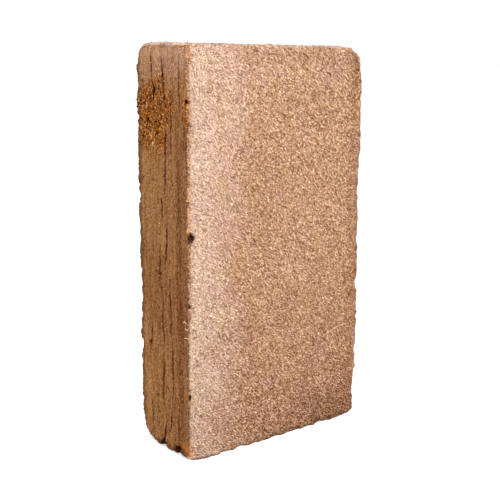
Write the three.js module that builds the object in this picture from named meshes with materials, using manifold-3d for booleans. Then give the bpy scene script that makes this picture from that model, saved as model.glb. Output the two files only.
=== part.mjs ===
// A brick of pressed coconut coir, standing on one short end.
// Millimetres, +Z up. The origin is under the middle of the brick, on its base.
// The broad faces look along -Y and +Y. The layers of coir lie parallel to them,
// so the cracks between layers open on the narrow sides and on the two ends.

import * as THREE from 'three';
import { mergeVertices } from 'three/addons/utils/BufferGeometryUtils.js';
import Module from 'manifold-3d';

const wasm = await Module();
wasm.setup();

// Driving dimensions of the brick
const height = 200;
const width = 110;
const thickness = 45;
const edgeRadius = 1.1;

// The mesh of the brick: cells along each direction, crowded towards the edges
const cellsAcross = 16;
const cellsThrough = 11;
const cellsUp = 31;
const crowding = 1.35;
const roughness = 0.36;

// Worn corners: which corner, as signs of x and y with 1 for the top and -1 for the base,
// the radius it is worn to, and how far along the edges the wear reaches
const wornCorners = [
  { at: [-1, 1, 1], radius: 5.5, reach: 14 },
  { at: [-1, 1, -1], radius: 6, reach: 18 },
  { at: [-1, -1, 1], radius: 3.4, reach: 14 },
  { at: [-1, -1, -1], radius: 3.5, reach: 12 },
  { at: [1, -1, 1], radius: 7.4, reach: 22 },
  { at: [1, -1, -1], radius: 3.5, reach: 14 },
  { at: [1, 1, 1], radius: 7, reach: 22 },
  { at: [1, 1, -1], radius: 6, reach: 20 },
];

// Shallow hollows in the pressed faces: middle (x, y, z), depth, and reach along x, y and z
const hollows = [
  { at: [-55, 22, 82], depth: 0.3, reach: [16, 16, 26] },
  { at: [-55, 8, 166], depth: 1, reach: [10, 15, 19] },
  { at: [55, -20, 124], depth: 1.1, reach: [14, 14, 30] },
  { at: [55, -20, 168], depth: 0.7, reach: [14, 14, 20] },
  { at: [55, -20, 12], depth: 1.3, reach: [14, 14, 22] },
  { at: [55, 8, 64], depth: 0.8, reach: [8, 14, 30] },
  { at: [12, -22, 120], depth: 0.4, reach: [40, 8, 60] },
  { at: [-16, 22, 60], depth: 0.6, reach: [34, 8, 44] },
  { at: [26, 22, 150], depth: 0.5, reach: [24, 8, 36] },
  { at: [0, -24, 200], depth: 2.1, reach: [110, 34, 8] },
];
const flatRim = 14;

// The base: what would lie lower than this is pressed flat with it
const pressedFlat = 0.5;

// The four faces that show the layers, as the directions that a crack's outline is drawn in:
// across the layers, along them, and into the brick
const faces = {
  left: { origin: [-width / 2, 0, 0], across: [0, 1, 0], along: [0, 0, 1] },
  right: { origin: [width / 2, 0, 0], across: [0, -1, 0], along: [0, 0, 1] },
  top: { origin: [0, 0, height], across: [0, -1, 0], along: [-1, 0, 0] },
  base: { origin: [0, 0, 0], across: [0, 1, 0], along: [-1, 0, 0] },
};

// Cracks between layers: opening, depth, and the line as points (across, along)
const cracks = [
  { face: 'left', open: 1.2, depth: 3, line: [[8.2, 197.6], [9, 189.5], [8, 181], [6.3, 171.5]] },
  { face: 'left', open: 1.6, depth: 4, line: [[-0.3, 194], [-0.9, 187], [-1.3, 183], [-2.2, 175]] },
  { face: 'left', open: 1.3, depth: 3, line: [[-14.4, 198.6], [-14.5, 187], [-14.2, 178], [-15, 165]] },
  { face: 'left', open: 1.2, depth: 3, line: [[-15.3, 168.5], [-18.4, 161.6], [-19.6, 157], [-22.4, 153]] },
  { face: 'left', open: 1, depth: 3, line: [[-8, 179], [-7.9, 166], [-7.5, 154], [-7, 141]] },
  { face: 'left', open: 1.9, depth: 5, line: [[-2, 164], [-2.2, 151], [-1.6, 138], [-1, 127.6]] },
  { face: 'left', open: 1.8, depth: 5, line: [[1.2, 128.4], [1.4, 122], [1.2, 115.8]] },
  { face: 'left', open: 1.7, depth: 5, line: [[-1.6, 116.4], [-2.6, 110], [-1.5, 100], [-0.5, 90.6]] },
  { face: 'left', open: 1.2, depth: 4, line: [[3.5, 110.2], [3.8, 96], [3.8, 86], [2.2, 79]] },
  { face: 'left', open: 1.5, depth: 4, line: [[2.2, 80.5], [2, 71], [2, 64], [0.8, 59], [0.9, 50.5]] },
  { face: 'left', open: 1.6, depth: 4, line: [[1.5, 53], [1.7, 40], [2.4, 30], [1, 17]] },
  { face: 'left', open: 1.1, depth: 3, line: [[11.4, 65], [12, 57], [13.4, 50], [13.6, 38]] },
  { face: 'left', open: 1.1, depth: 3, line: [[12.6, 24], [13, 16], [12.4, 8]] },
  { face: 'left', open: 1.1, depth: 3, line: [[-11.6, 23], [-11.2, 14], [-10.6, 5]] },
  { face: 'left', open: 1.3, depth: 4, line: [[-4.5, 92], [-5.2, 81], [-5.3, 67], [-6.4, 57.5]] },
  { face: 'left', open: 1.7, depth: 4, line: [[-6.1, 61], [-6.7, 47], [-6.4, 36], [-6.2, 20]] },
  { face: 'left', open: 1.3, depth: 3, line: [[-5.4, 23], [-5, 15], [-2.2, 7]] },
  { face: 'left', open: 2.2, depth: 4, line: [[-0.4, 14.5], [1, 7.5], [2.2, 2.5], [2.8, -2]] },
  { face: 'right', open: 1.6, depth: 4, line: [[6.2, 189], [5.4, 176], [5.9, 164], [4.6, 154]] },
  { face: 'right', open: 1.3, depth: 4, line: [[-3.4, 172], [-2.8, 160], [-3.6, 148], [-2.9, 135]] },
  { face: 'right', open: 1.8, depth: 5, line: [[1.8, 140], [2.6, 127], [1.7, 114], [2.2, 103]] },
  { face: 'right', open: 1.2, depth: 3, line: [[-10.6, 127], [-11.2, 112], [-10.4, 96]] },
  { face: 'right', open: 1.6, depth: 4, line: [[-1.4, 102], [-2.1, 88], [-1.2, 74], [-1.9, 65]] },
  { face: 'right', open: 1.3, depth: 3, line: [[8.1, 93], [8.9, 78], [8, 63]] },
  { face: 'right', open: 1.5, depth: 4, line: [[3.4, 59], [2.7, 44], [3.6, 31], [2.6, 19]] },
  { face: 'right', open: 1.3, depth: 4, line: [[-6.6, 48], [-7.3, 33], [-6.4, 19], [-4.8, 8]] },
  { face: 'top', open: 1.4, depth: 3, line: [[-3.2, -39], [-2.4, -24], [-3.1, -9], [-2.2, 3]] },
  { face: 'top', open: 1.3, depth: 3, line: [[4.4, 7], [5.2, 22], [4.3, 37]] },
  { face: 'top', open: 1.1, depth: 3, line: [[9.6, -31], [10.3, -16], [9.7, -3]] },
  { face: 'base', open: 1.5, depth: 3, line: [[6.4, 21], [5.6, 4], [6.3, -14], [5.5, -31]] },
];

// Chips broken out of the edges: middle, and half sizes along x, y and z
const chips = [
  { at: [-55, -22.5, 111.6], size: [3.2, 2.6, 2.4] },
  { at: [-55, -21.4, 173], size: [2, 2.2, 2.2] },
  { at: [-55, -9.8, 1.2], size: [2.6, 2.8, 2.6] },
  { at: [-55, 2.4, 0], size: [2.4, 2.2, 2] },
  { at: [-55, -22.5, 33], size: [1.8, 1.8, 2.6] },
  { at: [-55, 22.5, 126], size: [2, 2.4, 5] },
  { at: [55, -22.5, 152], size: [1.4, 1.4, 4] },
  { at: [55, 22.5, 82], size: [1.8, 1.8, 3.6] },
  { at: [55, 22.5, 118], size: [2.6, 2.4, 5.4] },
  { at: [55, 22.5, 46], size: [2, 2.2, 3.8] },
  { at: [30, -22.5, 0.4], size: [6, 2, 1.8] },
  { at: [-30, 22.5, 0.4], size: [5, 2.2, 2] },
  { at: [18, 22.5, 199.8], size: [6, 2.4, 1.8] },
  { at: [-26, -22.5, 200], size: [4, 1.6, 1.2] },
];

// Pits where coir has torn out of the left side, near its top: (y, z), radius and depth
const tornPits = [
  { at: [8, 178], radius: 3.6, depth: 1.1 },
  { at: [14.5, 174], radius: 4.2, depth: 1 },
  { at: [2.5, 172], radius: 3.8, depth: 0.9 },
  { at: [10, 168], radius: 4.4, depth: 1.3 },
  { at: [14.5, 163], radius: 3.6, depth: 1 },
  { at: [4, 162], radius: 3.6, depth: 1 },
  { at: [12, 159], radius: 4.4, depth: 1.1 },
  { at: [5, 154.5], radius: 3, depth: 0.9 },
];
const pitFlatness = 0.6;
const pitTallness = 1.25;

// How far a cutting shape stands out of the face that it cuts
const proud = 1;

// Cracks: how many steps each is drawn in, and how far it wanders from its line
const crackSteps = 7;
const crackWander = 0.7;

// Small bites along the edges: how far apart on average, and their smallest and largest size
const biteSpacing = 12;
const biteSizes = [1, 2.3];

const half = new THREE.Vector3(width, thickness, height).divideScalar(2);
const smooth = (value) => THREE.MathUtils.smoothstep(value, 0, 1);

// A coordinate from -1 to 1, moved so that more of the cells lie near the edges
function crowd(t) {
  return Math.sign(t) * (1 - (1 - Math.abs(t)) ** crowding);
}

// How round the edges are at a point, with the worn corners rounder than the rest
function radiusAt(point) {
  let radius = edgeRadius;
  for (const corner of wornCorners) {
    const tip = new THREE.Vector3(...corner.at).multiply(half);
    const wear = smooth(1 - point.distanceTo(tip) / corner.reach);
    radius = Math.max(radius, edgeRadius + (corner.radius - edgeRadius) * wear);
  }
  return radius;
}

// A number from 0 to 1 that jumps about from one seed, or one point, to the next
function scatter(seed) {
  const wild = Math.sin(seed * 12.9898) * 43758.5453;
  return wild - Math.floor(wild);
}

function scatterAt(point) {
  return scatter(scatter(point.x) + 2.3 * scatter(point.y) + 5.9 * scatter(point.z));
}

// How far the face is pressed in at a point. It fades out towards the base, which stays flat
function hollowAt(point) {
  let depth = roughness * scatterAt(point);
  for (const hollow of hollows) {
    const away = point.clone().sub(new THREE.Vector3(...hollow.at));
    away.divide(new THREE.Vector3(...hollow.reach));
    depth += hollow.depth * smooth(1 - away.length());
  }
  return depth * smooth(point.z / flatRim);
}

// The pressed block: a box of cells with its edges rounded, its faces a little hollow and its base flat
function pressedBlock() {
  const geometry = new THREE.BoxGeometry(2, 2, 2, cellsAcross, cellsThrough, cellsUp);
  const places = geometry.getAttribute('position');
  const point = new THREE.Vector3();
  for (let i = 0; i < places.count; i += 1) {
    point.fromBufferAttribute(places, i);
    point.set(crowd(point.x), crowd(point.y), crowd(point.z)).multiply(half);
    const radius = radiusAt(point);
    const inner = half.clone().subScalar(radius);
    const core = point.clone().clamp(inner.clone().negate(), inner);
    const outward = point.clone().sub(core).normalize();
    point.copy(core).addScaledVector(outward, radius);
    point.z += height / 2;
    point.addScaledVector(outward, -hollowAt(point));
    if (point.z < pressedFlat) point.z = 0;
    places.setXYZ(i, point.x, point.y, point.z);
  }
  return geometry;
}

// The triangles of a closed ring of points swept from a start tip, through the rings, to an end tip
function sweep(startTip, rings, endTip) {
  const triangles = [];
  const next = (ring, k) => ring[(k + 1) % ring.length];
  const first = rings[0];
  const last = rings.at(-1);
  first.forEach((point, k) => triangles.push(startTip, next(first, k), point));
  for (let i = 1; i < rings.length; i += 1) {
    const before = rings[i - 1];
    const after = rings[i];
    before.forEach((point, k) => {
      triangles.push(point, next(before, k), next(after, k));
      triangles.push(point, next(after, k), after[k]);
    });
  }
  last.forEach((point, k) => triangles.push(point, next(last, k), endTip));
  return new THREE.BufferGeometry().setFromPoints(triangles);
}

// A crack as a wedge: open at the face, closing to a line at its depth and to a point at both ends
function crackTool({ face, open, depth, line }, number) {
  const { origin, across, along } = faces[face];
  const u = new THREE.Vector3(...across);
  const v = new THREE.Vector3(...along);
  const inward = u.clone().cross(v);
  const curve = new THREE.CatmullRomCurve3(line.map(([a, b]) => new THREE.Vector3(a, b, -proud)));
  const points = curve.getPoints(crackSteps);
  const rings = [];
  for (let i = 1; i < crackSteps; i += 1) {
    const taper = 1 - Math.abs((2 * i) / crackSteps - 1) ** 3;
    const reach = depth * (0.4 + 0.6 * taper);
    const lip = (open / 2) * taper * (1 + proud / reach);
    const way = points[i + 1].clone().sub(points[i - 1]).normalize();
    const aside = new THREE.Vector3(-way.y, way.x, 0);
    const middle = points[i].clone().addScaledVector(aside, crackWander * (scatter(number * 9 + i) - 0.5));
    const oneLip = middle.clone().addScaledVector(aside, -lip);
    const otherLip = middle.clone().addScaledVector(aside, lip);
    rings.push([oneLip, otherLip, middle.clone().setZ(reach)]);
  }
  const geometry = sweep(points[0], rings, points[crackSteps]);
  const place = new THREE.Vector3(...origin);
  return geometry.applyMatrix4(new THREE.Matrix4().makeBasis(u, v, inward).setPosition(place));
}

// A chip as a rough ball that is cut out of an edge
function chipTool({ at, size }, number) {
  const geometry = new THREE.IcosahedronGeometry(1, 0);
  geometry.rotateX(number * 1.7);
  geometry.rotateZ(number * 0.9);
  return geometry.scale(...size).translate(...at);
}

// Bites on one edge, which runs from its start in the direction and length of its run
function edgeBites(start, run, seed) {
  const count = Math.round(run.length() / biteSpacing);
  const bites = [];
  for (let i = 0; i < count; i += 1) {
    const place = (i + 0.15 + 0.7 * scatter(seed + i)) / count;
    const deep = THREE.MathUtils.lerp(...biteSizes, scatter(seed + i + 0.5) ** 2);
    const size = run.clone().normalize().multiplyScalar(deep * 0.9).addScalar(deep);
    const at = start.clone().addScaledVector(run, place);
    bites.push(chipTool({ at, size }, seed + i));
  }
  return bites;
}

// The bites on all twelve edges of the block
function allBites() {
  const { x, y } = half;
  const bites = [];
  let seed = 1;
  for (const a of [-1, 1]) {
    for (const b of [-1, 1]) {
      const level = (height * (b + 1)) / 2;
      const upright = [new THREE.Vector3(a * x, b * y, 0), new THREE.Vector3(0, 0, height)];
      const across = [new THREE.Vector3(-x, a * y, level), new THREE.Vector3(width, 0, 0)];
      const through = [new THREE.Vector3(a * x, -y, level), new THREE.Vector3(0, thickness, 0)];
      for (const edge of [upright, across, through]) {
        bites.push(...edgeBites(...edge, seed));
        seed += 20;
      }
    }
  }
  return bites;
}

// A torn pit as a wide flat ball, sunk into the left side
function pitTool({ at, radius, depth }, number) {
  const geometry = new THREE.IcosahedronGeometry(radius, 0);
  geometry.rotateX(number * 0.8);
  geometry.scale(pitFlatness, 1, pitTallness);
  const face = hollowAt(new THREE.Vector3(-width / 2, ...at)) - width / 2;
  return geometry.translate(face - radius * pitFlatness + depth, ...at);
}

// A geometry as a solid that can be cut
function toSolid(geometry) {
  geometry.deleteAttribute('normal');
  geometry.deleteAttribute('uv');
  const merged = mergeVertices(geometry);
  return new wasm.Manifold(new wasm.Mesh({
    numProp: 3,
    vertProperties: new Float32Array(merged.getAttribute('position').array),
    triVerts: new Uint32Array(merged.getIndex().array),
  }));
}

// A solid as a geometry again
function toGeometry(solid) {
  const mesh = solid.getMesh();
  const geometry = new THREE.BufferGeometry();
  geometry.setAttribute('position', new THREE.BufferAttribute(mesh.vertProperties, 3));
  geometry.setIndex(new THREE.BufferAttribute(mesh.triVerts, 1));
  geometry.computeVertexNormals();
  return geometry;
}

const tools = [...cracks.map(crackTool), ...chips.map(chipTool), ...tornPits.map(pitTool), ...allBites()];
const brick = tools.reduce((solid, tool) => solid.subtract(toSolid(tool)), toSolid(pressedBlock()));

const coir = new THREE.MeshStandardMaterial({ color: 0xa87a50, roughness: 0.95, metalness: 0 });
const coirBrick = new THREE.Mesh(toGeometry(brick), coir);
coirBrick.name = 'coir_brick';

const group = new THREE.Group();
group.add(coirBrick);

export default group;
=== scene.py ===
import math

import bpy
import numpy as np
from mathutils import Matrix, Vector
from mathutils.bvhtree import BVHTree


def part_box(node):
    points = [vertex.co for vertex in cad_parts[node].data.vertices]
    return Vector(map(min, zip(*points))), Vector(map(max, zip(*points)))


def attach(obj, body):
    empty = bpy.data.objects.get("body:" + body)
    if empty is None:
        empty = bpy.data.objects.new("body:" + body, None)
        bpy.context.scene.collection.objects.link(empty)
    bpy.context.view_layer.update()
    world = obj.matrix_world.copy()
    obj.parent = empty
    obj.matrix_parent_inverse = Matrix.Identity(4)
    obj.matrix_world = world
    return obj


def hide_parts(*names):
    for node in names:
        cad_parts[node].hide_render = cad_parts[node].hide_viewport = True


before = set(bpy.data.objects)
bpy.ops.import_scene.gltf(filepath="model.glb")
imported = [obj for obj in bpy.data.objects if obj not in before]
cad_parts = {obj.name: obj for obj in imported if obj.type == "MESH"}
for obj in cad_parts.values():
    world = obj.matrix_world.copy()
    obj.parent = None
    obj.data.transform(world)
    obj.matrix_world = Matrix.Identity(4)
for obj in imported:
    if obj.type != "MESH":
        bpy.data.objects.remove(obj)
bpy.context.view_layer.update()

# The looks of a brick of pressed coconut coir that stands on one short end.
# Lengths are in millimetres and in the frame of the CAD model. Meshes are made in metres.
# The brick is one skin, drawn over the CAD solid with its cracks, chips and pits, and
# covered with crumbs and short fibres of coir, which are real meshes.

MM = 0.001
rng = np.random.default_rng(20)

# The brick, as the frame gives it
node = "coir_brick"
low, high = (np.array(corner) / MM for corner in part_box(node))
half = (high - low) / 2
left_x, right_x = low[0], high[0]
front_y = low[1]
top_z = high[2]

# Skin: how far apart its grid lines are along x, y and z, and how wide the rounding of its
# directions is at an edge
cells = (1.2, 0.4, 1.2)
edge_width = 8

# Rays that look for the solid: how far outside they start, and how deep the skin looks
ray_start = 8
search_depth = 16

# How rough the skin is on the broad faces, the sides, the torn patches and the edges
face_relief = 0.11
side_relief = 0.06
torn_relief = 0.45
edge_relief = 0.3

# Cracks between the layers: how far they wander, how far to each side the level beside them is
# sought, the shallow part of each that the coir has closed again, and how deep a crack is once
# it has its full colour, which is painted shade
crack_wobble = 0.35
crack_reach = 1.7
closed_depth = 0.38
crack_full = 0.12

# Crumbs: how steeply they slant on the broad faces, and half their length, breadth and depth
# there, on the smooth sides and where the coir is torn
face_slant = math.radians(40)
crumb_half = (0.68, 0.13, 0.13)
side_crumb_half = (0.5, 0.26, 0.05)
torn_crumb_half = (0.52, 0.34, 0.3)

# How many crumbs are dark, and the middle and the spread of the tones of light and dark ones
dark_part = 0.37
light_tone = (0.8, 0.17)
dark_tone = (0.02, 0.13)

# How thick the crumbs are that lie pressed under the base
pressed_depth = 0.2

# How many crumbs and fibres lie on each part of the skin. The front has two layers of crumbs.
front_count = 48000
back_count = 36000
narrow_count = 34000
torn_count = 6000
edge_count = 7000
fibre_count = 2600

# Fibres: the range of their lengths, radii and tones
fibre_length = (2.5, 7)
fibre_radius = (0.07, 0.14)
fibre_tone = (0.2, 0.95)

# Camera, found from the edges of the brick in the photograph
camera_at = (-289.75, -366.4, 189.3)
camera_azimuth = -38.16
camera_elevation = 11.38
camera_roll = 0.207
focal_length = 65.9
sensor_width = 36

# Stage, in metres: the floor, and for each lamp its name, place, target, size and power
floor_size = 60
floor_z = -0.0004
floor_colour = (232, 232, 232)
floor_glow = 0.5
lamps = [
    ("key", (-0.02, -0.5, 0.38), (0, 0, 0.11), 0.3, 3.5),
    ("top", (0, -0.06, 0.75), (0, 0, 0.2), 0.35, 3),
]


def smooth(value, start=0.0, end=1.0):
    """0 before start, 1 after end, and an even rise between them."""
    t = np.clip((value - start) / (end - start), 0, 1)
    return t * t * (3 - 2 * t)


def unit(vectors):
    return vectors / np.maximum(np.linalg.norm(vectors, axis=-1, keepdims=True), 1e-9)


def mix(a, b, share):
    return a + (b - a) * share


# Noise

def lattice(cell, seed):
    """A number from 0 to 1 for each corner of a lattice cell, mixed up with large odd numbers."""
    x, y, z = (cell[..., i].astype(np.uint64) for i in range(3))
    mixed = x * np.uint64(73856093) ^ y * np.uint64(19349663) ^ z * np.uint64(83492791)
    mixed = (mixed + np.uint64(seed * 2654435761)) * np.uint64(6364136223846793005)
    mixed ^= mixed >> np.uint64(33)
    mixed *= np.uint64(1442695040888963407)
    mixed ^= mixed >> np.uint64(29)
    return (mixed % np.uint64(65536)).astype(float) / 65535


def noise(points, size, seed):
    """Smooth noise from -1 to 1 whose lumps are about as large as size, along x, y and z."""
    scaled = points / np.array(size, float) + 1000
    cell = np.floor(scaled).astype(np.int64)
    part = smooth(scaled - cell)
    total = np.zeros(len(points))
    for corner in np.ndindex(2, 2, 2):
        weight = np.prod(np.where(np.array(corner) == 1, part, 1 - part), axis=1)
        total += weight * lattice(cell + np.array(corner), seed)
    return total * 2 - 1


# Zones of the surface, each as a share from 0 to 1

# Rough patches on the sides: middle, and reach along y and z
torn_patches = [
    (left_x, 9, 166.5, 18, 19.5),
    (left_x, -20, 168, 6, 9),
    (right_x, -8, 58, 9, 12),
    (right_x, 0, 70, 8, 10),
]

# Holes: middle, radius, and how much deeper they are than the solid
holes = [
    (left_x + 0.6, front_y, 110.8, 2.5, 0.9),
    (left_x, front_y + 1.8, 173.2, 1.5, 0.8),
    (left_x, -10.5, 1.5, 4, 2.6),
    (left_x, 2.6, 0.8, 3, 1.4),
    (left_x, front_y + 1, 33, 1.1, 0.5),
    (left_x, front_y + 0.8, 78, 1, 0.5),
    (left_x, 7.5, 178.3, 1.3, 1.2),
    (left_x, 7.6, 174.1, 1.1, 1),
    (left_x, -1.6, 174.4, 1.1, 1),
    (left_x, 18.8, 173.2, 1.2, 1),
    (left_x, 6.9, 26.5, 0.9, 0.6),
    (left_x, 13.8, 52.5, 0.9, 0.6),
    (left_x, 14, 164, 1.3, 1),
    (left_x, 5, 158, 1.2, 1),
    (left_x, 17, 156, 1.3, 1),
]


def side_share(points, outward):
    """The narrow sides, which the press has left smooth. They reach further round at the top."""
    z = points[:, 2]
    level = 0.7 - 0.13 * smooth(z, top_z - 12, top_z - 6) + 0.04 * smooth(z, 100, 60)
    return smooth(np.abs(outward[:, 0]), level - 0.03, level + 0.03)


def front_share(outward):
    return smooth(-outward[:, 1], 0.55, 0.7)


def strip_share(points, side):
    """The smoother, greyer strip of the left side along its front edge, darker partly with painted
    shade.
    """
    _, y, z = points.T
    return side * smooth(y, -9, -13) * smooth(z, top_z - 30, top_z - 50)


def edge_share(outward):
    """The edges, where the way out lies between two faces."""
    return smooth(np.sort(np.abs(outward), axis=1)[:, 1], 0.35, 0.65)


def hole_shares(points):
    """What is inside a hole, and how much deeper the skin lies there."""
    share = np.zeros(len(points))
    depth = np.zeros(len(points))
    ragged = 0.25 * noise(points, (1.2, 1.2, 1.2), 13)
    for x, y, z, radius, deeper in holes:
        far = np.linalg.norm(points - (x, y, z), axis=1) / radius + ragged
        share = np.maximum(share, smooth(far, 1.05, 0.75))
        depth = np.maximum(depth, deeper * smooth(far, 1, 0.3))
    return share, depth


def torn_share(points):
    """The rough patches where coir has torn out of the sides."""
    share = np.zeros(len(points))
    wander = 4 * noise(points, (8, 8, 8), 11) + 2.5 * noise(points, (3, 3, 3), 12)
    for x, y, z, reach_y, reach_z in torn_patches:
        far = np.hypot((points[:, 1] - y) / reach_y, (points[:, 2] - z) / reach_z)
        near = smooth(np.abs(points[:, 0] - x), 16, 8)
        share = np.maximum(share, near * smooth(far + wander / reach_z, 1.15, 0.65))
    return share


# The skin

# The box's faces, as axis, end and the place of its picture in the layout of the skin's map
layout_size = 320
sheets = [
    (1, 0, (2, 2)),
    (1, -1, (114, 2)),
    (0, 0, (226, 2)),
    (0, -1, (273, 2)),
    (2, -1, (2, 206)),
    (2, 0, (114, 206)),
]


def grid_lines():
    counts = [round(2 * h / cell) for h, cell in zip(half, cells)]
    return [np.linspace(a, b, n + 1) for a, b, n in zip(low, high, counts)]


def box_grid(lines):
    """The surface of a box as grid points and quads, with each quad's place in a flat layout."""
    shape = [len(line) for line in lines]
    places = np.stack(np.meshgrid(*lines, indexing="ij"), -1)
    outer = np.zeros(shape, bool)
    outer[[0, -1]] = True
    outer[:, [0, -1]] = True
    outer[:, :, [0, -1]] = True
    number = np.full(shape, -1)
    number[outer] = np.arange(outer.sum())
    quads = []
    layout = []
    for axis, end, start in sheets:
        sheet = np.take(number, end, axis)
        u, v = (lines[i] - lines[i][0] for i in range(3) if i != axis)
        flat = np.stack(np.meshgrid(u, v, indexing="ij"), -1) + np.array(start)
        corners = [(slice(None, -1), slice(None, -1)), (slice(1, None), slice(None, -1))]
        corners += [(slice(1, None), slice(1, None)), (slice(None, -1), slice(1, None))]
        if (end == 0) != (axis == 1):
            corners.reverse()
        quads.append(np.stack([sheet[c] for c in corners], -1).reshape(-1, 4))
        layout.append(np.stack([flat[c] for c in corners], -2).reshape(-1, 4, 2))
    return places[outer], np.concatenate(quads), np.concatenate(layout) / layout_size


def directions(points):
    """The way out of the brick at each point, and the point deep inside that it starts from."""
    core = np.clip(points, low + edge_width, high - edge_width)
    return unit(points - core), core


def solid_tree():
    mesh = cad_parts[node].data
    corners = [vertex.co / MM for vertex in mesh.vertices]
    return BVHTree.FromPolygons(corners, [list(face.vertices) for face in mesh.polygons])


def drop(tree, points, outward, reach):
    """How far below each point a ray meets the solid, and whether it meets it squarely."""
    fall = np.zeros(len(points))
    met = np.zeros(len(points), bool)
    for i, (point, way) in enumerate(zip(points, outward)):
        start = Vector(point + way * ray_start)
        hit, normal, _, distance = tree.ray_cast(start, Vector(-way), ray_start + reach)
        if hit is not None:
            fall[i] = distance - ray_start
            met[i] = normal.dot(Vector(way)) > 0.3
    return fall, met


def vertex_normals(points, quads):
    a, b, c, d = (points[quads[:, i]] for i in range(4))
    flat = np.cross(c - a, d - b)
    normals = np.zeros_like(points)
    for i in range(4):
        np.add.at(normals, quads[:, i], flat)
    return unit(normals)


def relief(points, outward):
    """How far the skin rises above the solid."""
    side = side_share(points, outward)
    torn = torn_share(points)
    coarse = noise(points, (2.2, 2.2, 2.2), 1) + 0.6 * noise(points, (1.1, 1.1, 1.1), 2)
    grain = noise(points, (3, 0.9, 9), 3) + 0.5 * noise(points, (2, 0.6, 4), 4)
    rise = mix(face_relief * coarse, side_relief * grain, side * (1 - torn))
    rise += torn * torn_relief * noise(points, (1.6, 1.6, 1.6), 5)
    rise += edge_share(outward) * edge_relief * noise(points, (2.4, 2.4, 2.8), 6)
    return rise * smooth(points[:, 2], 0, 3)


def crack_depth(tree, start, outward, fall):
    """How much deeper the solid lies here than at both sides, looking across the layers."""
    level = np.zeros(len(start))
    for shift in (-crack_reach, crack_reach):
        beside = drop(tree, start + (0, shift, 0), outward, search_depth)[0]
        level = np.maximum(level, beside)
    return np.maximum(fall - level, 0) * smooth(np.abs(outward[:, 1]), 0.5, 0.3)


def cracked(tree, grid, start, outward):
    """How far the solid lies below each start, how much of its cracks the coir has closed, and
    what is left of them as a share."""
    wobble = np.stack([noise(grid, (1.6, 1.6, 1.6), 41 + i) for i in range(3)], -1)
    aside = start + crack_wobble * wobble
    fall = drop(tree, aside, outward, search_depth)[0]
    whole = crack_depth(tree, aside, outward, fall)
    x, y, z = grid.T
    closed = closed_depth * (1 + 1.6 * noise(start, (2, 2, 2.6), 14))
    closed = closed * mix(1, 1.5, smooth(x, 0, 1)) * mix(1, 0.4, smooth(z, top_z - 30, top_z - 22))
    left = np.maximum(whole - np.maximum(closed, 0), 0)
    fading = smooth(z, top_z - 28, top_z - 16) * smooth(np.abs(y + 14.5), 4, 2)
    return fall, whole - left, smooth(left, 0, crack_full) * mix(1, 0.5, fading)


class Surface:
    """The skin as numbers: its points, the way out and the normal there, and its zones."""

    def __init__(self, tree):
        grid, self.quads, self.layout = box_grid(grid_lines())
        self.outward, core = directions(grid)
        start = core + self.outward * edge_width
        fall, closed, self.crack = cracked(tree, grid, start, self.outward)
        self.hole, deeper = hole_shares(grid)
        fall += deeper - closed
        self.points = start - self.outward * fall[:, None]
        rise = relief(self.points, self.outward) * (1 - np.maximum(self.crack, self.hole))
        self.points = self.points + self.outward * rise[:, None]
        self.normals = vertex_normals(self.points, self.quads)
        self.unbroken = 1 - 0.97 * np.maximum(self.crack, self.hole)
        self.side = side_share(self.points, self.outward)
        self.torn = torn_share(self.points) * self.side
        self.smooth_side = self.side * (1 - self.torn)


def scatter(surface, count, density):
    """Random places on the skin, denser where density is higher: points, ways out, normals."""
    quads = surface.quads
    triangles = np.concatenate([quads[:, [0, 1, 2]], quads[:, [0, 2, 3]]])
    a, b, c = (surface.points[triangles[:, i]] for i in range(3))
    area = np.linalg.norm(np.cross(b - a, c - a), axis=1)
    weight = area * density[triangles].min(axis=1)
    chosen = rng.choice(len(triangles), count, p=weight / weight.sum())
    u, v = rng.random((2, count))
    over = u + v > 1
    u[over], v[over] = 1 - u[over], 1 - v[over]
    parts = np.stack([1 - u - v, u, v], -1)[:, :, None]
    corners = triangles[chosen]
    return (
        (surface.points[corners] * parts).sum(1),
        unit((surface.outward[corners] * parts).sum(1)),
        unit((surface.normals[corners] * parts).sum(1)),
    )


# Meshes

def make_mesh(name, points, faces, layout, values, material, soft=True):
    """A mesh object with its map for baking and one number per point for each named value."""
    mesh = bpy.data.meshes.new(name)
    sides = faces.shape[1]
    mesh.vertices.add(len(points))
    mesh.vertices.foreach_set("co", (points * MM).astype(np.float32).ravel())
    mesh.loops.add(faces.size)
    mesh.loops.foreach_set("vertex_index", faces.astype(np.int32).ravel())
    mesh.polygons.add(len(faces))
    mesh.polygons.foreach_set("loop_start", np.arange(0, faces.size, sides, dtype=np.int32))
    mesh.update(calc_edges=True)
    mesh.validate()
    mesh.polygons.foreach_set("use_smooth", np.full(len(faces), soft))
    places = mesh.uv_layers.new(name="OFBake")
    places.data.foreach_set("uv", layout.astype(np.float32).ravel())
    for key, numbers in values.items():
        layer = mesh.attributes.new(key, "FLOAT", "POINT")
        layer.data.foreach_set("value", numbers.astype(np.float32))
    mesh.materials.append(material)
    piece = bpy.data.objects.new(name, mesh)
    bpy.context.scene.collection.objects.link(piece)
    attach(piece, "root")
    return piece


def above_base(points):
    """The points, with those that would reach below the base pressed flat against it."""
    return np.maximum(points, (-np.inf, -np.inf, low[2] - pressed_depth))


# How much of each small square of a map stays empty at its edges
cell_margin = 0.06


def cell_layout(count, faces_in_cell):
    """A map with one small square for each repeat of a shape that is laid out from 0 to 1."""
    columns = math.ceil(math.sqrt(count))
    spots = np.stack([np.arange(count) % columns, np.arange(count) // columns], -1)
    inside = cell_margin + (1 - 2 * cell_margin) * faces_in_cell
    return ((spots[:, None, None, :] + inside[None]) / columns).reshape(-1, 2)


# Values that the materials read

# Where the pale part of the front, paler coir under a painted sheen, begins to fade and where
# it ends, from its left edge
pale_from = 4
pale_to = 36

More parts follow.
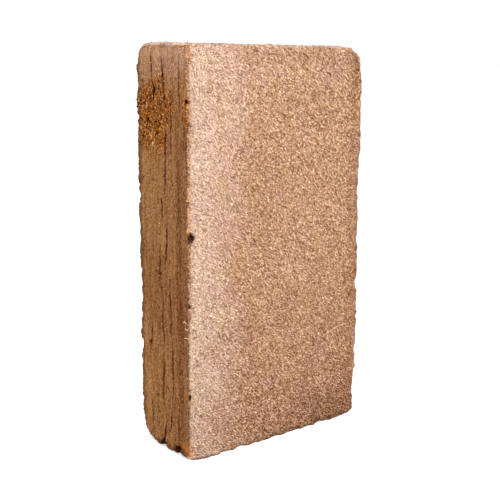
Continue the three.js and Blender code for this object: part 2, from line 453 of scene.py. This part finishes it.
# Patches of the left side that differ in colour: y, z, reach along y and z, more golden, lighter
side_patches = [
    (8, 140, 16, 26, 0.3, 0.04),
    (8, 82, 20, 22, -0.1, -0.06),
    (12, 36, 16, 22, 0.4, 0.02),
]


def side_tints(points):
    """How much more golden and how much lighter the patches make the sides."""
    golden = np.zeros(len(points))
    light = np.zeros(len(points))
    for y, z, reach_y, reach_z, more_golden, lighter in side_patches:
        far = np.hypot((points[:, 1] - y) / reach_y, (points[:, 2] - z) / reach_z)
        share = smooth(far + 0.25 * noise(points, (5, 5, 9), 27), 1.2, 0.6)
        golden += more_golden * share
        light += lighter * share
    return golden, light


class Zones:
    """Where each point lies on the brick, each zone as a share from 0 to 1."""

    def __init__(self, points, outward):
        self.points = points
        x, y, z = points.T
        ragged = noise(points, (3, 3, 3), 25)
        self.x, self.y, self.z = x, y, z
        self.ragged = ragged
        self.across = np.abs(outward[:, 0])
        self.toward_back = outward[:, 1]
        self.side = side_share(points, outward)
        self.front = front_share(outward)
        self.back = smooth(outward[:, 1], 0.55, 0.7)
        self.top = smooth(z + 0.4 * ragged, top_z - 2.1, top_z - 1.4)
        self.upper = smooth(z + 3 * ragged, 145, 168)
        self.lower = smooth(z, 60, 5)
        self.strip = strip_share(points, self.side)
        self.torn = torn_share(points) * self.side * (1 - self.top)
        # The band of the sides below the rim, given painted light from above
        self.below_rim = self.side * smooth(z + ragged, top_z - 22, top_z - 10)
        self.line = self.side * smooth(np.abs(z - top_z + 2 + 0.4 * ragged), 0.6, 0.2)
        near_left = smooth(x + 0.4 * ragged, left_x + 1.8, left_x + 0.6)
        self.left_rim = self.front * near_left * smooth(z, 60, 100)
        self.right_edge = self.front * smooth(x + 1.5 * ragged, right_x - 11, right_x - 5)
        near_seam = smooth(np.abs(x - right_x + 3.4 + 0.6 * ragged), 0.8, 0.3)
        self.seam = self.front * self.upper * near_seam
        near_corner = smooth(np.hypot(y + 17, (z - 4) * 1.2), 9, 4)
        self.corner = near_corner * smooth(x, left_x + 3, left_x + 1)


def pale_share(at):
    """Pale coir and painted light: paler coir under a painted sheen up the left of the front, paler
    patches on the back, and painted light from above on the top, high on the front and below the
    rim of the sides.
    """
    from_left = at.x - left_x + 9 * noise(at.points, (14, 14, 18), 21) - 6 * at.upper
    # A painted sheen over paler coir, up the left of the front
    left = at.front * smooth(from_left, pale_to, pale_from)
    left = left * mix(1, 0.85, at.lower) * (1 - 0.6 * at.left_rim)
    patches = 0.5 * at.back * smooth(noise(at.points, (30, 30, 44), 29), -0.1, 0.6)
    # Painted light from above, high on the front
    under_top = 0.25 * at.front * smooth(at.z + 3 * at.ragged, 165, 192)
    return np.maximum.reduce([left + patches, under_top, at.top, 0.4 * at.below_rim, 0.15 * at.strip])


def rust_share(at):
    """Rusty coir: where it is torn, at the lower front corner of the left side, and in lines."""
    torn = at.torn * mix(1, 0.6, smooth(at.x, 0, 1))
    return np.maximum.reduce([torn, 0.8 * at.corner, 0.6 * at.line, 0.5 * at.seam, 0.25 * at.left_rim])


def dark_share(at):
    """Darker coir along the foot, and painted shade at the upright edges that turn to the back and
    the right.
    """
    foot = smooth(at.z + 1.2 * at.ragged, mix(2, 5, at.side), 0.2)
    # Painted shade at the edges that turn to the back and the right
    edges = np.maximum(smooth(at.toward_back, 0.4, 0.6), 0.3 * smooth(at.x, 0, 1) * at.front)
    edges = edges * smooth(at.across, 0.45, 0.65) * (1 - at.top)
    return np.maximum(0.7 * foot, 0.45 * edges)


def golden_share(at, more_golden):
    """From 0 where the coir is pinkish to 1 where it is golden."""
    drift = 0.34 * noise(at.points, (6, 6, 6), 23) + 0.2 * noise(at.points, (2.2, 2.2, 2.2), 24)
    golden = 0.5 + drift + 0.15 * at.side * smooth(at.y, -4, 8) - 0.05 * at.strip - 0.2 * at.below_rim
    # Side patches, and up the front's right edge more golden coir that is partly painted highlight
    golden = golden + at.side * more_golden + at.right_edge * mix(-0.2, 0.3, at.upper)
    return np.clip(golden, 0, 1)


def side_light(at, lighter):
    """How much lighter than plain coir the narrow sides are: with painted light from above at the rim
    and below it, and painted shade where they turn away.
    """
    middle = -0.05 - 0.05 * smooth(at.z, 110, 70)
    near_back = 0.06 * smooth(at.y, 6, 16) * smooth(at.z, 100, 60)
    near_front = smooth(at.y, -14, -18) * mix(0.06, 0.11, smooth(at.z, 110, 60))
    # Painted light from above at the rim
    rim = 0.16 * smooth(at.z, top_z - 9, top_z - 3)
    # Painted shade where the side turns away from the light, most near the top
    turned_away = 0.28 * smooth(at.across, 0.92, 0.62) * mix(0.15, 1, smooth(at.z, 176, 190))
    light = at.side * (lighter + middle + near_back + near_front + rim - turned_away)
    # Painted light from above on the band below the rim
    light = light + 0.12 * at.below_rim + 0.15 * at.corner
    # The strip is made darker, partly as painted shade
    return light - 0.16 * at.strip - 0.03 * at.torn - 0.1 * at.line


def front_light(at):
    """How much lighter than plain coir the front is: darker, but for a painted highlight along its top
    right edge.
    """
    under_top = 0.04 * smooth(at.z, 186, 195) * smooth(at.x, -45, -15)
    middle = 0.04 * np.maximum(smooth(at.z, 95, 50), at.upper * smooth(at.x, -10, 30))
    low = 0.04 * at.lower * (1 + smooth(at.x, 0, 45))
    foot = 0.09 * smooth(at.z, 24, 6) * smooth(at.x, -20, 25)
    # Painted highlight in a thin band along the upper right edge
    edge_highlight = 0.22 * at.upper * smooth(at.x + at.ragged, right_x - 4, right_x - 2)
    # Painted shade along the front's right edge, which turns away from the light
    right = at.right_edge * mix(0.02, 0.09, smooth(at.z, 40, 80))
    light = at.front * (edge_highlight - under_top - middle - low - foot)
    return light - right - 0.15 * at.seam - 0.04 * at.left_rim


def zone_values(points, outward):
    """What the materials read: shares of the zones, and how golden and how light the coir is."""
    at = Zones(points, outward)
    more_golden, lighter = side_tints(points)
    plain_side = at.side * (1 - at.top) * (1 - 0.3 * at.below_rim - 0.25 * at.strip)
    # The top, painted pale as if lit from above: darker but where it rounds over the sides
    top_light = -at.top * mix(0.14, -0.12, at.side)
    back_light = 0.05 * at.back * at.ragged
    return {
        "side": np.maximum(plain_side, 0.2 * at.right_edge),
        "rust": rust_share(at),
        "pale": pale_share(at),
        "dark": dark_share(at),
        "golden": golden_share(at, more_golden),
        "light": side_light(at, lighter) + front_light(at) + top_light + back_light,
    }


def put_in(values, changed, count):
    """Gives each of the count points the changed values in place of its own."""
    for key, value in (changed or {}).items():
        values[key] = np.full(count, value)


# Crumbs

# A sliver: two tips with a ridge between them, and two corners at its foot
sliver = np.array([(1, 0, 0.4), (-1, 0, 0.4), (0, 1, -0.6), (0, -1, -0.6)])
sliver_faces = np.array([(0, 2, 1), (0, 1, 3), (0, 3, 2), (1, 2, 3)])


def sliver_layout():
    """The upper faces in a large diamond, and the lower ones in a small diamond beside it."""
    spots = sliver[:, :2]
    upper = spots[sliver_faces[:2]] * (0.34, 0.5) + (0.34, 0.5)
    lower = spots[sliver_faces[2:]] * (0.14, 0.5) + (0.86, 0.5)
    return np.concatenate([upper, lower])


def grain_way(points, outward):
    """The way that the fibres run: slanting on the broad faces, up the sides, along the ends."""
    weight = outward ** 4
    weight /= weight.sum(axis=1, keepdims=True)
    across = -np.sign(outward[:, 1]) * math.cos(face_slant)
    way = np.stack([across, 0 * across, 0 * across - math.sin(face_slant)], -1) * weight[:, 1:2]
    way[:, 2] += weight[:, 0]
    way[:, 0] += weight[:, 2]
    return way


def turned(points, outward, normals, spread, loose):
    """Two directions in the surface, along and across each crumb, turned at random."""
    way = grain_way(points, outward)
    along = unit(way - normals * (way * normals).sum(1, keepdims=True))
    across = np.cross(normals, along)
    angle = rng.normal(0, 1, len(points)) * spread
    free = rng.random(len(points)) < loose
    angle = np.where(free, rng.uniform(-np.pi, np.pi, len(points)), angle)[:, None]
    return (along * np.cos(angle) + across * np.sin(angle),
            across * np.cos(angle) - along * np.sin(angle))


def half_sizes(side, torn):
    """Half the length, breadth and depth of each crumb, after the zone that it lies in."""
    plain = [mix(a, b, side) for a, b in zip(crumb_half, side_crumb_half)]
    return [mix(a, b, torn) for a, b in zip(plain, torn_crumb_half)]


def contrast(points, outward):
    """How much the tones differ: more up the right and at the foot of the front, less up its left
    and on the sides."""
    x, _, z = points.T
    left = smooth(x, left_x + 75, left_x + pale_from) * smooth(z, 80, 130)
    right = smooth(x, -10, 30) * smooth(z, 110, 160)
    front = 0.18 + 0.4 * smooth(z, 80, 20) + 0.2 * right - 0.24 * left
    return 1 + front_share(outward) * front - 0.3 * side_share(points, outward)


def tones(points, torn, stretch):
    """How light each crumb is, from 0 to 1, with lighter and darker drifts and a few specks."""
    drift = 0.02 * noise(points, (9, 9, 9), 31) + 0.02 * noise(points, (3, 3, 3), 32)
    light = rng.normal(*light_tone, len(points))
    dark = rng.normal(*dark_tone, len(points))
    tone = np.where(rng.random(len(points)) < dark_part, dark, light) + drift
    tone = 0.5 + (tone - 0.5) * stretch
    speck = rng.random(len(points))
    tone = np.where(speck < 0.03 + 0.06 * torn, 1, np.where(speck > 1 - 0.05 * torn, 0.05, tone))
    return np.clip(tone, 0, 1)


def crumb_values(points, outward, torn, changed):
    """What the material reads at each crumb, each with a tone of its own."""
    count = len(points)
    values = zone_values(points, outward)
    values["tone"] = tones(points, torn, contrast(points, outward)) + values["light"]
    values["golden"] = np.clip(values["golden"] + rng.normal(0, 0.15, count), 0, 1)
    values["dark"] = values["dark"] * (rng.random(count) < 0.7)
    put_in(values, changed, count)
    return values


def crumb_arms(places, side, torn, tone, scale):
    """The middle of each crumb, and its half length, breadth and depth as three directions."""
    points, outward, normals = places
    count = len(points)
    edge = edge_share(outward)
    spread = mix(0.15, 0.4, side) + 0.3 * torn + 0.2 * edge
    loose = mix(0.12, 0.3, side) + 0.4 * torn + 0.2 * edge
    along, across = turned(points, outward, normals, spread, loose)
    size = scale * np.clip(rng.lognormal(0, 0.3, count), 0.5, 1.45)
    length, breadth, depth = (size * reach for reach in half_sizes(side, torn))
    breadth = breadth * mix(0.9, 1.05, np.clip(tone, 0, 1)) * rng.uniform(0.7, 1.3, count)
    tilt = rng.normal(0, 1, count) * mix(0.14, 0.04, side) * (1 + torn) * (1 - 0.6 * edge)
    along = unit(along + normals * tilt[:, None])
    centre = points + normals * (depth * rng.uniform(-0.3, 0.5, count))[:, None]
    arms = [along * length[:, None], across * breadth[:, None], normals * depth[:, None]]
    return centre, np.stack(arms, 1)


def crumbs(name, places, material, scale=1.0, changed=None):
    """Irregular slivers that lie at the places on the skin, as one joined mesh."""
    points, outward, _ = places
    count = len(points)
    side = side_share(points, outward)
    torn = torn_share(points) * side
    values = crumb_values(points, outward, torn, changed)
    centre, arms = crumb_arms(places, side, torn, values["tone"], scale)
    per = len(sliver)
    shape = sliver[None] * rng.uniform(0.65, 1.3, (count, per, 1))
    shape[:, 2:, 0] += rng.uniform(-0.5, 0.5, (count, per - 2))
    corners = above_base(centre[:, None] + np.einsum("nki,nij->nkj", shape, arms))
    faces = sliver_faces[None] + per * np.arange(count)[:, None, None]
    values = {key: np.repeat(numbers, per) for key, numbers in values.items()}
    return make_mesh(name, corners.reshape(-1, 3), faces.reshape(-1, 3),
                     cell_layout(count, sliver_layout()), values, material, soft=False)


# The ways out of three of the faces
front_way = (0, -1, 0)
left_way = (-1, 0, 0)
right_way = (1, 0, 0)


def on_face(tree, way, spots):
    """Places on the solid below spots that are given on the plane of one of its faces."""
    spots = np.array(spots, float)
    ways = np.tile(np.array(way, float), (len(spots), 1))
    fall = drop(tree, spots, ways, 6)[0]
    return spots - ways * fall[:, None], ways, ways


def overhanging_flakes(surface, material):
    """Flakes of the front face that stand out past its left edge, over the side."""
    x, y, _ = surface.points.T
    near = smooth(np.hypot(x - left_x, y - front_y), 2.2, 0.8) * (1 - surface.hole)
    points = scatter(surface, 1500, near)[0]
    ways = np.tile(np.array(front_way, float), (len(points), 1))
    pale_gold = {"tone": rng.uniform(0.45, 0.95, len(points)), "golden": 0.9, "rust": 0.2}
    crumbs("overhanging_flakes", (points, ways, ways), material, 1.1, pale_gold)


def rim_grains(surface, material):
    """Dark grains that stand out past two edges: the left side's back one and the front's right."""
    x, y, z = surface.points.T
    back = smooth(np.hypot(x - left_x, y - high[1]), 1.8, 0.5)
    right = smooth(np.hypot(x - right_x, y - front_y), 3, 1.4) * mix(0.4, 1, smooth(z, 100, 140))
    for name, near, count, way, tone in (
        ("rim_grains", back, 800, left_way, 0.15),
        ("right_rim_grains", right, 700, front_way, 0.25),
    ):
        points = scatter(surface, count, near)[0]
        ways = np.tile(np.array(way, float), (count, 1))
        crumbs(name, (points, ways, ways), material, 1.4, {"tone": tone})


def accents(surface, material):
    """Coarser crumbs at the front's worn edges: golden and dark ones up the right, dark ones at the
    foot, and a few golden ones half-way up the left."""
    x, y, z = surface.points.T
    clumps = smooth(noise(surface.points, (3, 3, 3), 51), -0.3, 0.4)
    right = smooth(np.hypot(x - right_x, y - front_y), 5.5, 2) * smooth(z, 140, 165)
    foot = smooth(np.abs(z - 1.8), 2.8, 0.4) * smooth(-surface.outward[:, 1], 0.1, 0.4)
    foot = foot * smooth(x, -35, 25) * clumps
    left = smooth(np.hypot(x - left_x, y - front_y), 2.4, 0.7) * smooth(np.abs(z - 122), 14, 9)
    # The golden crumbs up the right are partly the painted highlight along that edge
    crumbs("corner_crumbs", scatter(surface, 1500, right), material, 1.3, {"tone": 0.85, "golden": 0.8})
    crumbs("corner_grains", scatter(surface, 900, right), material, 1.3, {"tone": 0.05})
    crumbs("foot_grains", scatter(surface, 1300, foot), material, 1.2, {"tone": 0.05, "dark": 0.2})
    crumbs("golden_flakes", scatter(surface, 300, left), material, 1, {"tone": 0.85, "rust": 0.5})


# Rows of dark grains on the two sides, the painted shade of hairline cracks between two layers:
# y, and from which z to which
dotted_rows = [
    (16.8, 117, 141),
    (6.5, 130, 139),
    (-9.8, 189, 196),
    (7, 28, 33),
    (-11.7, 162, 167),
    (-9.6, 86, 90),
    (-15, 40, 52),
    (12.5, 84, 96),
]
dotted_rows_right = [
    (-14, 60, 84),
    (13, 20, 38),
    (9, 122, 133),
    (-6.5, 176, 188),
    (15, 150, 168),
]
row_spacing = 0.9


def dotted_grains(tree, material):
    """Dark grains in rows where a crack between two layers only just shows, as its painted shade."""
    dark = {"tone": 0.0, "rust": 1.0}
    for name, x, way, rows in (
        ("dotted_grains_left", left_x, left_way, dotted_rows),
        ("dotted_grains_right", right_x, right_way, dotted_rows_right),
    ):
        spots = []
        for y, start, end in rows:
            for z in np.arange(start, end, row_spacing):
                spots.append((x, y + rng.normal(0, 0.12), z + rng.normal(0, 0.25)))
        crumbs(name, on_face(tree, way, spots), material, 0.7, dark)


# Fibres

fibre_sides = 3
fibre_rings = 4
# How much of a fibre's square of the map each tip takes
tip_part = 0.15


def fibre_faces():
    """A thin closed tube: two tips, with rings of points between them."""
    faces = []
    places = []
    last = 1 + fibre_rings * fibre_sides
    for j in range(fibre_sides):
        k = (j + 1) % fibre_sides
        across = (j / fibre_sides, (j + 1) / fibre_sides, (j + 0.5) / fibre_sides)
        faces.append((0, 1 + k, 1 + j))
        places.append(((0, across[2]), (tip_part, across[1]), (tip_part, across[0])))
        for ring in range(fibre_rings - 1):
            a = 1 + ring * fibre_sides
            b = a + fibre_sides
            u = mix(tip_part, 1 - tip_part, np.array([ring, ring + 1]) / (fibre_rings - 1))
            faces.append((a + j, a + k, b + k))
            places.append(((u[0], across[0]), (u[0], across[1]), (u[1], across[1])))
            faces.append((a + j, b + k, b + j))
            places.append(((u[0], across[0]), (u[1], across[1]), (u[1], across[0])))
        b = 1 + (fibre_rings - 1) * fibre_sides
        faces.append((b + j, b + k, last))
        places.append(((1 - tip_part, across[0]), (1 - tip_part, across[1]), (1, across[2])))
    return np.array(faces), np.array(places, float)


def tubes(name, paths, outward, radius, tone, material, changed=None):
    """Thin tubes along the paths, as one joined mesh. A path is a tip, the rings and a tip."""
    count = len(paths)
    way = unit(paths[:, 2:] - paths[:, :-2])
    aside = unit(np.cross(way, outward[:, None]))
    up = np.cross(aside, way)
    angle = 2 * np.pi * np.arange(fibre_sides) / fibre_sides + np.pi / 2
    ring = np.cos(angle)[:, None] * aside[:, :, None] + np.sin(angle)[:, None] * up[:, :, None]
    rings = paths[:, 1:-1, None] + ring * radius[:, None, None, None]
    corners = above_base(np.concatenate([paths[:, :1], rings.reshape(count, -1, 3), paths[:, -1:]], 1))
    faces, places = fibre_faces()
    per = corners.shape[1]
    values = zone_values(corners.reshape(-1, 3), np.repeat(outward, per, 0))
    values["tone"] = np.repeat(tone, per)
    put_in(values, changed, count * per)
    joined = faces[None] + per * np.arange(count)[:, None, None]
    return make_mesh(name, corners.reshape(-1, 3), joined.reshape(-1, 3),
                     cell_layout(count, places), values, material)


def draped(tree, paths, outward, rise):
    """Paths laid on the solid along their ways out, with their tips on it and the rest above."""
    flat = paths.reshape(-1, 3)
    ways = np.repeat(outward, paths.shape[1], 0)
    fall, met = drop(tree, flat, ways, 2)
    flat = flat - ways * np.where(met, fall, 0)[:, None]
    return flat.reshape(paths.shape) + outward[:, None] * rise[..., None]


def fibre_paths(tree, places):
    """Curved paths that follow the skin, and run straight on where it ends at an edge."""
    points, outward, normals = places
    count = len(points)
    side = side_share(points, outward)
    along, across = turned(points, outward, normals, mix(0.7, 0.15, side), mix(0.5, 0.1, side))
    steps = np.linspace(-0.5, 0.5, fibre_rings + 2)
    length = rng.uniform(*fibre_length, count) * rng.uniform(0.6, 1.2, count)
    bend = rng.normal(0, 0.9, count)
    turn = bend[:, None] * steps + 0.35 * np.sin(steps * 9 + rng.uniform(0, 6, (count, 1)))
    step = np.cos(turn)[..., None] * along[:, None] + np.sin(turn)[..., None] * across[:, None]
    step *= (length / (fibre_rings + 1))[:, None, None]
    paths = points[:, None] + np.cumsum(step, 1) - step.sum(1, keepdims=True) / 2
    rise = rng.uniform(0.1, 0.3, (count, 1)) + rng.uniform(-0.1, 0.2, (count, 1)) * (4 * steps ** 2)
    rise[:, [0, -1]] -= 0.25
    return draped(tree, paths, outward, rise), outward


# Single fibres that stand out: way out, both tips, how far the middle bows aside, thickness, tone
single_fibres = [
    (front_way, (7.7, front_y, 197), (12.2, front_y, 199.6), (-0.5, 0, 0.6), 0.35, 1),
    (front_way, (28.7, front_y, 47.9), (48.4, front_y, 52.7), (0, 0, 1.6), 0.32, 0.95),
    (front_way, (-20, front_y, 62), (-8, front_y, 69), (0, 0, -2), 0.22, 0.9),
    (front_way, (13.5, front_y, 195.8), (16.9, front_y, 192.4), (0.3, 0, 0.3), 0.5, 0),
    (front_way, (29.2, front_y, 186.5), (32, front_y, 183.9), (0.3, 0, 0.2), 0.5, 0),
    (left_way, (left_x, -16.1, 68.7), (left_x, -19.5, 69), (0, 0, 1.2), 0.5, 1),
    (left_way, (left_x, -18.1, 67.2), (left_x, -20.7, 67.1), (0, 0, -0.8), 0.5, 1),
    (left_way, (left_x, -17.2, 61.5), (left_x, -22.3, 61.5), (0, 0, 0.9), 0.5, 1),
]


def standing_fibres(tree, material):
    """The single fibres, each an even bow from tip to tip."""
    t = np.linspace(0, 1, fibre_rings + 2)[:, None]
    ways, starts, ends, bows = (np.array([row[i] for row in single_fibres], float) for i in range(4))
    paths = mix(starts[:, None], ends[:, None], t) + bows[:, None] * 4 * t * (1 - t)
    rise = np.full(paths.shape[:2], 0.45)
    rise[:, [0, -1]] = 0.1
    radius = np.array([row[4] for row in single_fibres]) / 2
    tone = np.array([row[5] for row in single_fibres], float)
    pale = {"side": 0, "rust": 0.45, "dark": 0, "golden": 1}
    return tubes("single_fibres", draped(tree, paths, ways, rise), ways, radius, tone, material, pale)


# Materials

def srgb(r, g, b):
    """A colour from its screen numbers."""
    c = np.array([r, g, b]) / 255
    return (*np.where(c <= 0.04045, c / 12.92, ((c + 0.055) / 1.055) ** 2.4), 1)


face_tones = [(0, (44, 18, 4)), (0.25, (100, 62, 36)), (0.5, (143, 111, 89)),
              (0.75, (177, 147, 126)), (1, (226, 197, 179))]
pale_tones = [(0, (84, 50, 32)), (0.25, (134, 99, 80)), (0.5, (167, 145, 134)),
              (0.75, (190, 168, 157)), (1, (220, 202, 191))]
side_tones = [(0, (58, 26, 6)), (0.25, (108, 71, 41)), (0.5, (135, 95, 64)),
              (0.75, (158, 116, 84)), (1, (188, 148, 114))]
rust_tones = [(0, (52, 14, 0)), (0.25, (100, 50, 12)), (0.5, (138, 81, 33)),
              (0.75, (168, 110, 56)), (1, (228, 184, 138))]
# Painted shade: the colours that cracks and holes are given where they lie deep
crack_shade_colour = (70, 25, 4)
hole_shade_colour = (32, 9, 2)
# The colour of the darker foot and of the painted shade at edges that turn away
dark_colour = (62, 41, 27)
pink_tint = (254, 247, 246)
golden_tint = (252, 250, 226)


class Nodes:
    """A few short ways to add and join shader nodes."""

    def __init__(self, name):
        self.material = bpy.data.materials.new(name)
        self.material.use_nodes = True
        self.tree = self.material.node_tree
        self.tree.nodes.clear()

    def add(self, kind, **settings):
        made = self.tree.nodes.new(kind)
        for key, value in settings.items():
            setattr(made, key, value)
        return made

    def join(self, source, target):
        self.tree.links.new(source, target)

    def value(self, name):
        return self.add("ShaderNodeAttribute", attribute_name=name).outputs["Fac"]

    def ramp(self, factor, stops):
        made = self.add("ShaderNodeValToRGB")
        elements = made.color_ramp.elements
        while len(elements) < len(stops):
            elements.new(0.5)
        for element, (place, colour) in zip(elements, stops):
            element.position = place
            element.color = srgb(*colour)
        self.join(factor, made.inputs["Fac"])
        return made.outputs["Color"]

    def mix(self, factor, first, second, blend="MIX"):
        made = self.add("ShaderNodeMix", data_type="RGBA", blend_type=blend)
        for socket, value in ((0, factor), (6, first), (7, second)):
            if isinstance(value, bpy.types.NodeSocket):
                self.join(value, made.inputs[socket])
            else:
                made.inputs[socket].default_value = value
        return made.outputs[2]

    def maths(self, operation, *values):
        made = self.add("ShaderNodeMath", operation=operation)
        for socket, value in zip(made.inputs, values):
            if isinstance(value, bpy.types.NodeSocket):
                self.join(value, socket)
            else:
                socket.default_value = value
        return made.outputs[0]

    def vary(self, tone, noise, strength):
        """The tone, made lighter and darker by noise."""
        return self.maths("MULTIPLY_ADD", self.maths("SUBTRACT", noise, 0.5), strength, tone)

    def noise(self, size, detail=2, turn=(0, 0, 0)):
        """Noise in the brick's own frame, with lumps of the given size in millimetres."""
        place = self.add("ShaderNodeTexCoord").outputs["Object"]
        mapping = self.add("ShaderNodeMapping", vector_type="TEXTURE")
        mapping.inputs["Rotation"].default_value = turn
        mapping.inputs["Scale"].default_value = [s * MM for s in size]
        self.join(place, mapping.inputs["Vector"])
        made = self.add("ShaderNodeTexNoise")
        made.inputs["Scale"].default_value = 1
        made.inputs["Detail"].default_value = detail
        self.join(mapping.outputs["Vector"], made.inputs["Vector"])
        return made.outputs["Fac"]


def zone_colour(nodes, tone):
    """The colour of coir at a tone, after the zone that it lies in."""
    colour = nodes.mix(nodes.value("pale"), nodes.ramp(tone, face_tones), nodes.ramp(tone, pale_tones))
    colour = nodes.mix(nodes.value("side"), colour, nodes.ramp(tone, side_tones))
    colour = nodes.mix(nodes.value("rust"), colour, nodes.ramp(tone, rust_tones))
    tint = nodes.mix(nodes.value("golden"), srgb(*pink_tint), srgb(*golden_tint))
    colour = nodes.mix(1, colour, tint, "MULTIPLY")
    return nodes.mix(nodes.value("dark"), colour, srgb(*dark_colour))


def finish_material(nodes, colour, height, strength, roughness):
    """Gives the material its colour, its fine bumps and a dull surface."""
    shader = nodes.add("ShaderNodeBsdfPrincipled")
    nodes.join(colour, shader.inputs["Base Color"])
    shader.inputs["Roughness"].default_value = roughness
    shader.inputs["Specular IOR Level"].default_value = 0
    bump = nodes.add("ShaderNodeBump")
    bump.inputs["Strength"].default_value = strength
    bump.inputs["Distance"].default_value = 0.3 * MM
    nodes.join(height, bump.inputs["Height"])
    nodes.join(bump.outputs["Normal"], shader.inputs["Normal"])
    output = nodes.add("ShaderNodeOutputMaterial")
    nodes.join(shader.outputs["BSDF"], output.inputs["Surface"])
    return nodes.material


def skin_material():
    """The pressed surface: upright streaks on the sides, slanting flecks on the broad faces."""
    nodes = Nodes("coir_skin")
    streaks = nodes.noise((3, 0.9, 1), detail=3)
    threads = nodes.noise((2, 1.3, 14))
    flecks = nodes.noise((1.3, 0.32, 0.32), turn=(0, face_slant, 0))
    patches = nodes.noise((9, 9, 14))
    grain = nodes.noise((0.4, 0.4, 0.5))
    side = nodes.value("side")
    side_tone = nodes.vary(nodes.maths("MULTIPLY_ADD", streaks, 1.1, -0.05), threads, 0.7)
    side_tone = nodes.maths("MULTIPLY", side, side_tone)
    face_tone = nodes.maths("MULTIPLY_ADD", flecks, 1.4, -0.3)
    face_tone = nodes.maths("MULTIPLY", nodes.maths("SUBTRACT", 1, side), face_tone)
    tone = nodes.vary(nodes.maths("ADD", side_tone, face_tone), patches, 0.15)
    grain_strength = nodes.maths("MULTIPLY_ADD", side, -0.8, 1.5)
    tone = nodes.maths("ADD", nodes.vary(tone, grain, grain_strength), nodes.value("light"))
    # Painted shade in the cracks and the holes
    colour = nodes.mix(nodes.value("crack"), zone_colour(nodes, tone), srgb(*crack_shade_colour))
    colour = nodes.mix(nodes.value("hole"), colour, srgb(*hole_shade_colour))
    return finish_material(nodes, colour, streaks, strength=0.35, roughness=0.9)


def crumb_material():
    """Loose coir: each sliver has a tone of its own, with a little grain along it."""
    nodes = Nodes("coir_crumbs")
    grain = nodes.noise((0.5, 0.5, 0.5))
    tone = nodes.vary(nodes.value("tone"), grain, 0.3)
    return finish_material(nodes, zone_colour(nodes, tone), grain, strength=0.3, roughness=0.95)


# The brick's pieces

def skin(surface):
    values = zone_values(surface.points, surface.outward)
    # Where painted shade darkens the cracks and the holes
    values["crack"] = surface.crack
    values["hole"] = surface.hole
    piece = make_mesh("coir_skin", surface.points, surface.quads, surface.layout, values,
                      skin_material())
    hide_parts(node)


def loose_crumbs(surface, material):
    """Crumbs all over the skin, fewer on the smooth sides and fewest in the strip at the front."""
    toward_back = surface.outward[:, 1]
    strip = strip_share(surface.points, surface.side)
    front = (toward_back < -0.55) * surface.unbroken
    back = (toward_back > 0.55) * surface.unbroken
    narrow = (np.abs(toward_back) <= 0.55) * surface.unbroken
    narrow = narrow * (1 - 0.3 * surface.smooth_side) * (1 - 0.75 * strip)
    edges = edge_share(surface.outward) * surface.unbroken
    torn = surface.torn * surface.unbroken
    crumbs("front_crumbs", scatter(surface, front_count, front), material)
    crumbs("front_fines", scatter(surface, front_count, front), material, 0.75)
    crumbs("back_crumbs", scatter(surface, back_count, back), material)
    crumbs("side_and_end_crumbs", scatter(surface, narrow_count, narrow), material)
    crumbs("torn_grains", scatter(surface, torn_count, torn), material, 0.8)
    crumbs("edge_flakes", scatter(surface, edge_count, edges), material, 0.9)


def loose_fibres(tree, surface, material):
    """Short fibres all over, fewer on the smooth sides and in the upper part."""
    density = surface.unbroken * (1 - 0.85 * surface.smooth_side)
    density = density * mix(1, 0.5, smooth(surface.points[:, 2], 60, 130))
    paths, ways = fibre_paths(tree, scatter(surface, fibre_count, density))
    radius = rng.uniform(*fibre_radius, fibre_count)
    tone = rng.uniform(*fibre_tone, fibre_count)
    tubes("fibres", paths, ways, radius, tone, material)


def brick():
    tree = solid_tree()
    surface = Surface(tree)
    skin(surface)
    material = crumb_material()
    loose_crumbs(surface, material)
    overhanging_flakes(surface, material)
    rim_grains(surface, material)
    accents(surface, material)
    dotted_grains(tree, material)
    loose_fibres(tree, surface, material)
    standing_fibres(tree, material)


# Stage

def plain_material(name, colour, glow):
    nodes = Nodes(name)
    shader = nodes.add("ShaderNodeBsdfPrincipled")
    shader.inputs["Base Color"].default_value = srgb(*colour)
    shader.inputs["Roughness"].default_value = 0.9
    shader.inputs["Emission Color"].default_value = (1, 1, 1, 1)
    shader.inputs["Emission Strength"].default_value = glow
    output = nodes.add("ShaderNodeOutputMaterial")
    nodes.join(shader.outputs["BSDF"], output.inputs["Surface"])
    return nodes.material


def floor():
    bpy.ops.mesh.primitive_plane_add(size=floor_size, location=(0, 0, floor_z))
    plane = bpy.context.object
    plane.name = "floor"
    plane.data.materials.append(plain_material("pale_floor", floor_colour, floor_glow))


def area_light(name, place, target, size, power):
    light = bpy.data.lights.new(name, "AREA")
    light.size = size
    light.energy = power
    lamp = bpy.data.objects.new(name, light)
    lamp.location = place
    lamp.rotation_euler = (Vector(target) - Vector(place)).to_track_quat("-Z", "Y").to_euler()
    bpy.context.scene.collection.objects.link(lamp)


def studio():
    world = bpy.data.worlds.new("studio")
    bpy.context.scene.world = world
    world.use_nodes = True
    background = world.node_tree.nodes["Background"]
    background.inputs["Color"].default_value = (1, 1, 1, 1)
    background.inputs["Strength"].default_value = 1
    for lamp in lamps:
        area_light(*lamp)
    bpy.context.scene.view_settings.view_transform = "Standard"


def camera():
    azimuth = math.radians(camera_azimuth)
    elevation = math.radians(camera_elevation)
    roll = math.radians(camera_roll)
    back = Vector((math.sin(azimuth) * math.cos(elevation),
                   -math.cos(azimuth) * math.cos(elevation), math.sin(elevation)))
    right = Vector((math.cos(azimuth), math.sin(azimuth), 0))
    up = back.cross(right)
    rolled_right = right * math.cos(roll) + up * math.sin(roll)
    rolled_up = up * math.cos(roll) - right * math.sin(roll)
    data = bpy.data.cameras.new("camera")
    data.lens = focal_length
    data.sensor_width = sensor_width
    eye = bpy.data.objects.new("camera", data)
    turn = Matrix((rolled_right, rolled_up, back)).transposed().to_4x4()
    eye.matrix_world = Matrix.Translation(Vector(camera_at) * MM) @ turn
    bpy.context.scene.collection.objects.link(eye)
    bpy.context.scene.camera = eye


camera()
studio()
floor()
brick()
